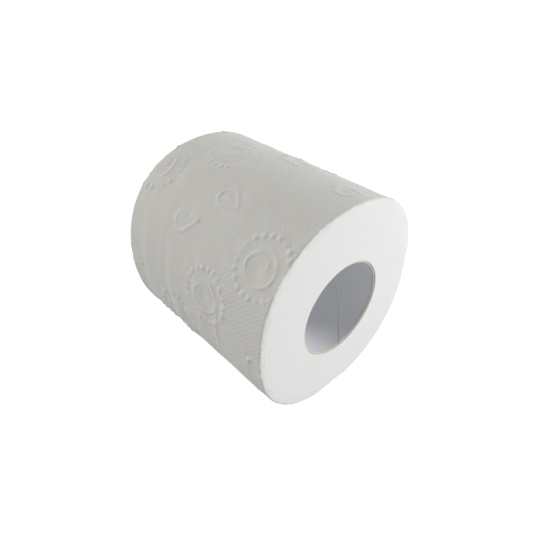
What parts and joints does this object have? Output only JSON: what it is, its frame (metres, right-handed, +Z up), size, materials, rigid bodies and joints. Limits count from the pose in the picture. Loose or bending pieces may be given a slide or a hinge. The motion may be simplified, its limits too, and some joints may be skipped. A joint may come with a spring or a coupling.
{
  "type": "toilet paper roll",
  "caption": "Soft white embossed toilet paper roll on its side: wound tissue with a pressed flat, on a spiral cardboard tube with an open bore.",
  "frame": {"origin": "on the surface that the roll rests on, in the middle of the box round it and below the middle of its pressed flat", "axes": "+Y along the axis of the tube and the roll, +Z up out of the surface it rests on, +X across the roll"},
  "size_m": [0.094, 0.095, 0.0978],
  "materials": {
    "tissue": "matt, soft, embossed",
    "core_board": "matt grey-brown recycled board"
  },
  "bodies": {
    "root": {"tissue_roll": "tissue", "core_tube": "core_board"}
  },
  "joints": []
}
